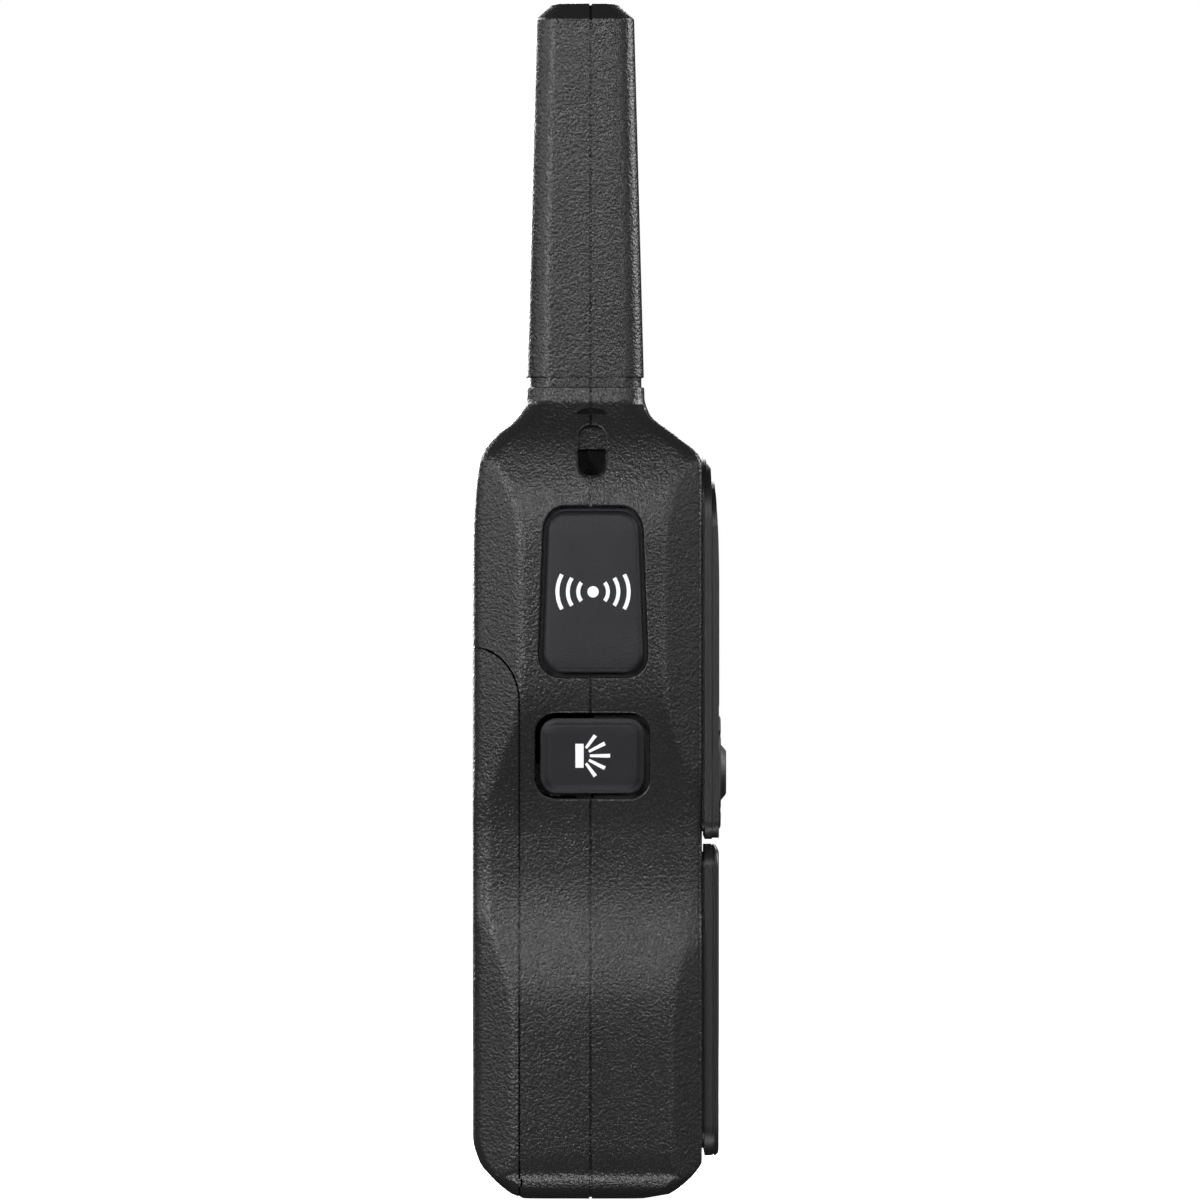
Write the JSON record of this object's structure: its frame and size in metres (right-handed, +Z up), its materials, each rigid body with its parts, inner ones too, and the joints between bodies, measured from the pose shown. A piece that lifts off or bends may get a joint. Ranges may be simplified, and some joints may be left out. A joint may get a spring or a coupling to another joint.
{
  "type": "two way radio",
  "caption": "Hand-held two way radio with a fixed antenna mast, side talk button, waisted grip, display, front keys, speaker panel and a rear battery door.",
  "frame": {"origin": "on the base plane under the middle of the body, on the front shell's flat underside", "axes": "+Z up along the antenna, -Y out of the front with the display, -X out of the side with the talk button"},
  "size_m": [0.0569, 0.0404, 0.19],
  "materials": {
    "housing": "matte",
    "panel": "satin",
    "display": "gloss",
    "button_rubber": "matte",
    "inner_rubber": "matte",
    "board": "satin",
    "steel": "satin",
    "spring_steel": "satin",
    "cell_jacket": "satin",
    "magnet": "satin",
    "copper": "satin",
    "clear_plastic": "gloss",
    "nylon": "matte"
  },
  "bodies": {
    "housing": {"front_housing": "housing", "rear_housing": "housing", "front_bezel": "panel", "speaker_grille": "panel", "display_lens": "display", "lcd_module": "display", "keypad_mat": "inner_rubber", "side_key_seal": "inner_rubber", "speaker_cone": "inner_rubber", "main_board": "board", "front_board": "board", "side_switch_board": "board", "rf_shield": "steel", "usb_socket": "steel", "accessory_jack": "steel", "ptt_switch": "steel", "light_switch": "steel", "speaker_frame": "steel", "microphone": "steel", "lamp_reflector": "steel", "housing_screw_1": "steel", "housing_screw_2": "steel", "housing_screw_3": "steel", "housing_screw_4": "steel", "cell_spring_1": "spring_steel", "cell_spring_2": "spring_steel", "cell_spring_3": "spring_steel", "contact_plate_1": "spring_steel", "contact_plate_2": "spring_steel", "contact_plate_3": "spring_steel", "aa_cell_1": "cell_jacket", "aa_cell_2": "cell_jacket", "aa_cell_3": "cell_jacket", "speaker_magnet": "magnet", "antenna_coil": "copper", "antenna_lead": "copper", "lamp_lens": "clear_plastic", "lamp_led": "clear_plastic", "antenna_core": "nylon"},
    "battery_door": {"battery_door": "housing"},
    "door_latch": {"door_latch": "panel"},
    "ptt_button": {"ptt_button": "button_rubber"},
    "light_button": {"light_button": "button_rubber"},
    "port_cover": {"port_cover": "button_rubber"},
    "key_centre": {"key_centre": "button_rubber"},
    "key_up": {"key_up": "button_rubber"},
    "key_down": {"key_down": "button_rubber"},
    "key_left": {"key_left": "button_rubber"},
    "key_right": {"key_right": "button_rubber"},
    "key_power": {"key_power": "button_rubber"},
    "key_call": {"key_call": "button_rubber"}
  },
  "joints": [
    {"name": "door_swing", "type": "hinge", "parent": "housing", "child": "battery_door", "pos_m": [0, 0.0202, 0.0876], "axis": [1, 0, 0], "range_deg": [0, 70]},
    {"name": "latch_slide", "type": "slide", "parent": "battery_door", "child": "door_latch", "axis": [0, 0, -1], "range_m": [0, 0.003], "stiffness_N_per_m": 300, "springref_m": -0.001},
    {"name": "port_cover_swing", "type": "hinge", "parent": "housing", "child": "port_cover", "pos_m": [0.028, -0.0001, 0.092], "axis": [0, 0, 1], "range_deg": [0, 100]},
    {"name": "ptt_press", "type": "slide", "parent": "housing", "child": "ptt_button", "axis": [1, 0, 0], "range_m": [0, 0.001], "stiffness_N_per_m": 2000, "springref_m": -0.0005},
    {"name": "light_press", "type": "slide", "parent": "housing", "child": "light_button", "axis": [1, 0, 0], "range_m": [0, 0.0008], "stiffness_N_per_m": 2000, "springref_m": -0.0005},
    {"name": "key_centre_press", "type": "slide", "parent": "housing", "child": "key_centre", "axis": [0, 1, 0], "range_m": [0, 0.0005], "stiffness_N_per_m": 2500, "springref_m": -0.0004},
    {"name": "key_up_press", "type": "slide", "parent": "housing", "child": "key_up", "axis": [0, 1, 0], "range_m": [0, 0.0005], "stiffness_N_per_m": 2500, "springref_m": -0.0004},
    {"name": "key_down_press", "type": "slide", "parent": "housing", "child": "key_down", "axis": [0, 1, 0], "range_m": [0, 0.0005], "stiffness_N_per_m": 2500, "springref_m": -0.0004},
    {"name": "key_left_press", "type": "slide", "parent": "housing", "child": "key_left", "axis": [0, 1, 0], "range_m": [0, 0.0005], "stiffness_N_per_m": 2500, "springref_m": -0.0004},
    {"name": "key_right_press", "type": "slide", "parent": "housing", "child": "key_right", "axis": [0, 1, 0], "range_m": [0, 0.0005], "stiffness_N_per_m": 2500, "springref_m": -0.0004},
    {"name": "key_power_press", "type": "slide", "parent": "housing", "child": "key_power", "axis": [0, 1, 0], "range_m": [0, 0.0005], "stiffness_N_per_m": 2500, "springref_m": -0.0004},
    {"name": "key_call_press", "type": "slide", "parent": "housing", "child": "key_call", "axis": [0, 1, 0], "range_m": [0, 0.0005], "stiffness_N_per_m": 2500, "springref_m": -0.0004}
  ]
}
